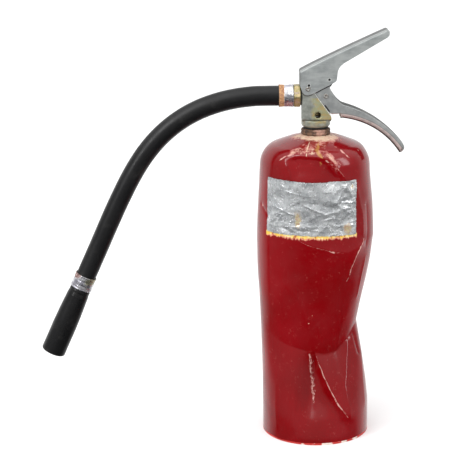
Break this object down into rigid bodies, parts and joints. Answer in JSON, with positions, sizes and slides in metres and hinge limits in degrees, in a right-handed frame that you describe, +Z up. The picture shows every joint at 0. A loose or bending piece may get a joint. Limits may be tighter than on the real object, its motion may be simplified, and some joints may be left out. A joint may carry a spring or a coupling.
{
  "type": "fire extinguisher",
  "caption": "Portable dry-powder fire extinguisher with a crushed cylinder, squeeze lever, carrying handle, and a hose with a plain nozzle.",
  "frame": {"origin": "bottom centre of the box round the cylinder, valve, lever and handle, on the floor; the cylinder's axis is 17.1 mm to -X of it", "axes": "+Z up; +X from the cylinder's axis towards the lever and handle tips; the hose leaves towards -X; -Y is the front, with the label and the gauge port"},
  "size_m": [0.4432, 0.13, 0.4964],
  "materials": {
    "red_paint": "glossy enamel, crushed and scratched",
    "rusty_steel": "rusted, dusty",
    "foil": "crumpled foil",
    "old_label": "torn paper remains",
    "zinc_alloy": "dull die casting, tarnished",
    "seal_rubber": "matt",
    "brass": "dull, tarnished",
    "tube_plastic": "plain",
    "spring_steel": "bright wire",
    "sheet_steel": "satin, plated",
    "pin_steel": "worn plating",
    "ferrule_aluminium": "bright, crimped, stained",
    "hose_rubber": "satin black",
    "nozzle_rubber": "satin black"
  },
  "bodies": {
    "body": {"cylinder_shell": "red_paint", "base_end": "red_paint", "neck_ring": "rusty_steel", "label_plate": "foil", "label_backing": "old_label", "valve_body": "zinc_alloy", "neck_o_ring": "seal_rubber", "tube_adapter": "brass", "siphon_tube": "tube_plastic", "stem_gland": "brass", "stem_o_ring": "seal_rubber", "valve_spring": "spring_steel", "carrying_handle": "sheet_steel", "lever_pivot_pin": "pin_steel", "handle_rivet": "pin_steel", "nipple_washer": "seal_rubber", "hose_nipple": "brass", "hose_ferrule": "ferrule_aluminium", "hose": "hose_rubber", "nozzle_ferrule": "ferrule_aluminium", "nozzle_insert": "brass", "nozzle": "nozzle_rubber"},
    "lever": {"squeeze_lever": "sheet_steel"},
    "stem": {"valve_stem": "brass", "stem_seal": "seal_rubber"}
  },
  "joints": [
    {"name": "lever_squeeze", "type": "hinge", "parent": "body", "child": "lever", "pos_m": [-0.027, 0, 0.4283], "axis": [0, 1, 0], "range_deg": [0, 14], "stiffness_Nm_per_rad": 2.5, "springref_deg": -8.59},
    {"name": "stem_travel", "type": "slide", "parent": "body", "child": "stem", "axis": [0, 0, -1], "range_m": [0, 0.0047], "stiffness_N_per_m": 600, "springref_m": -0.004, "deforming": ["valve_spring"]}
  ],
  "couplings": [
    {"joint": "stem_travel", "follows": "lever_squeeze", "m_per_rad": 0.019}
  ]
}
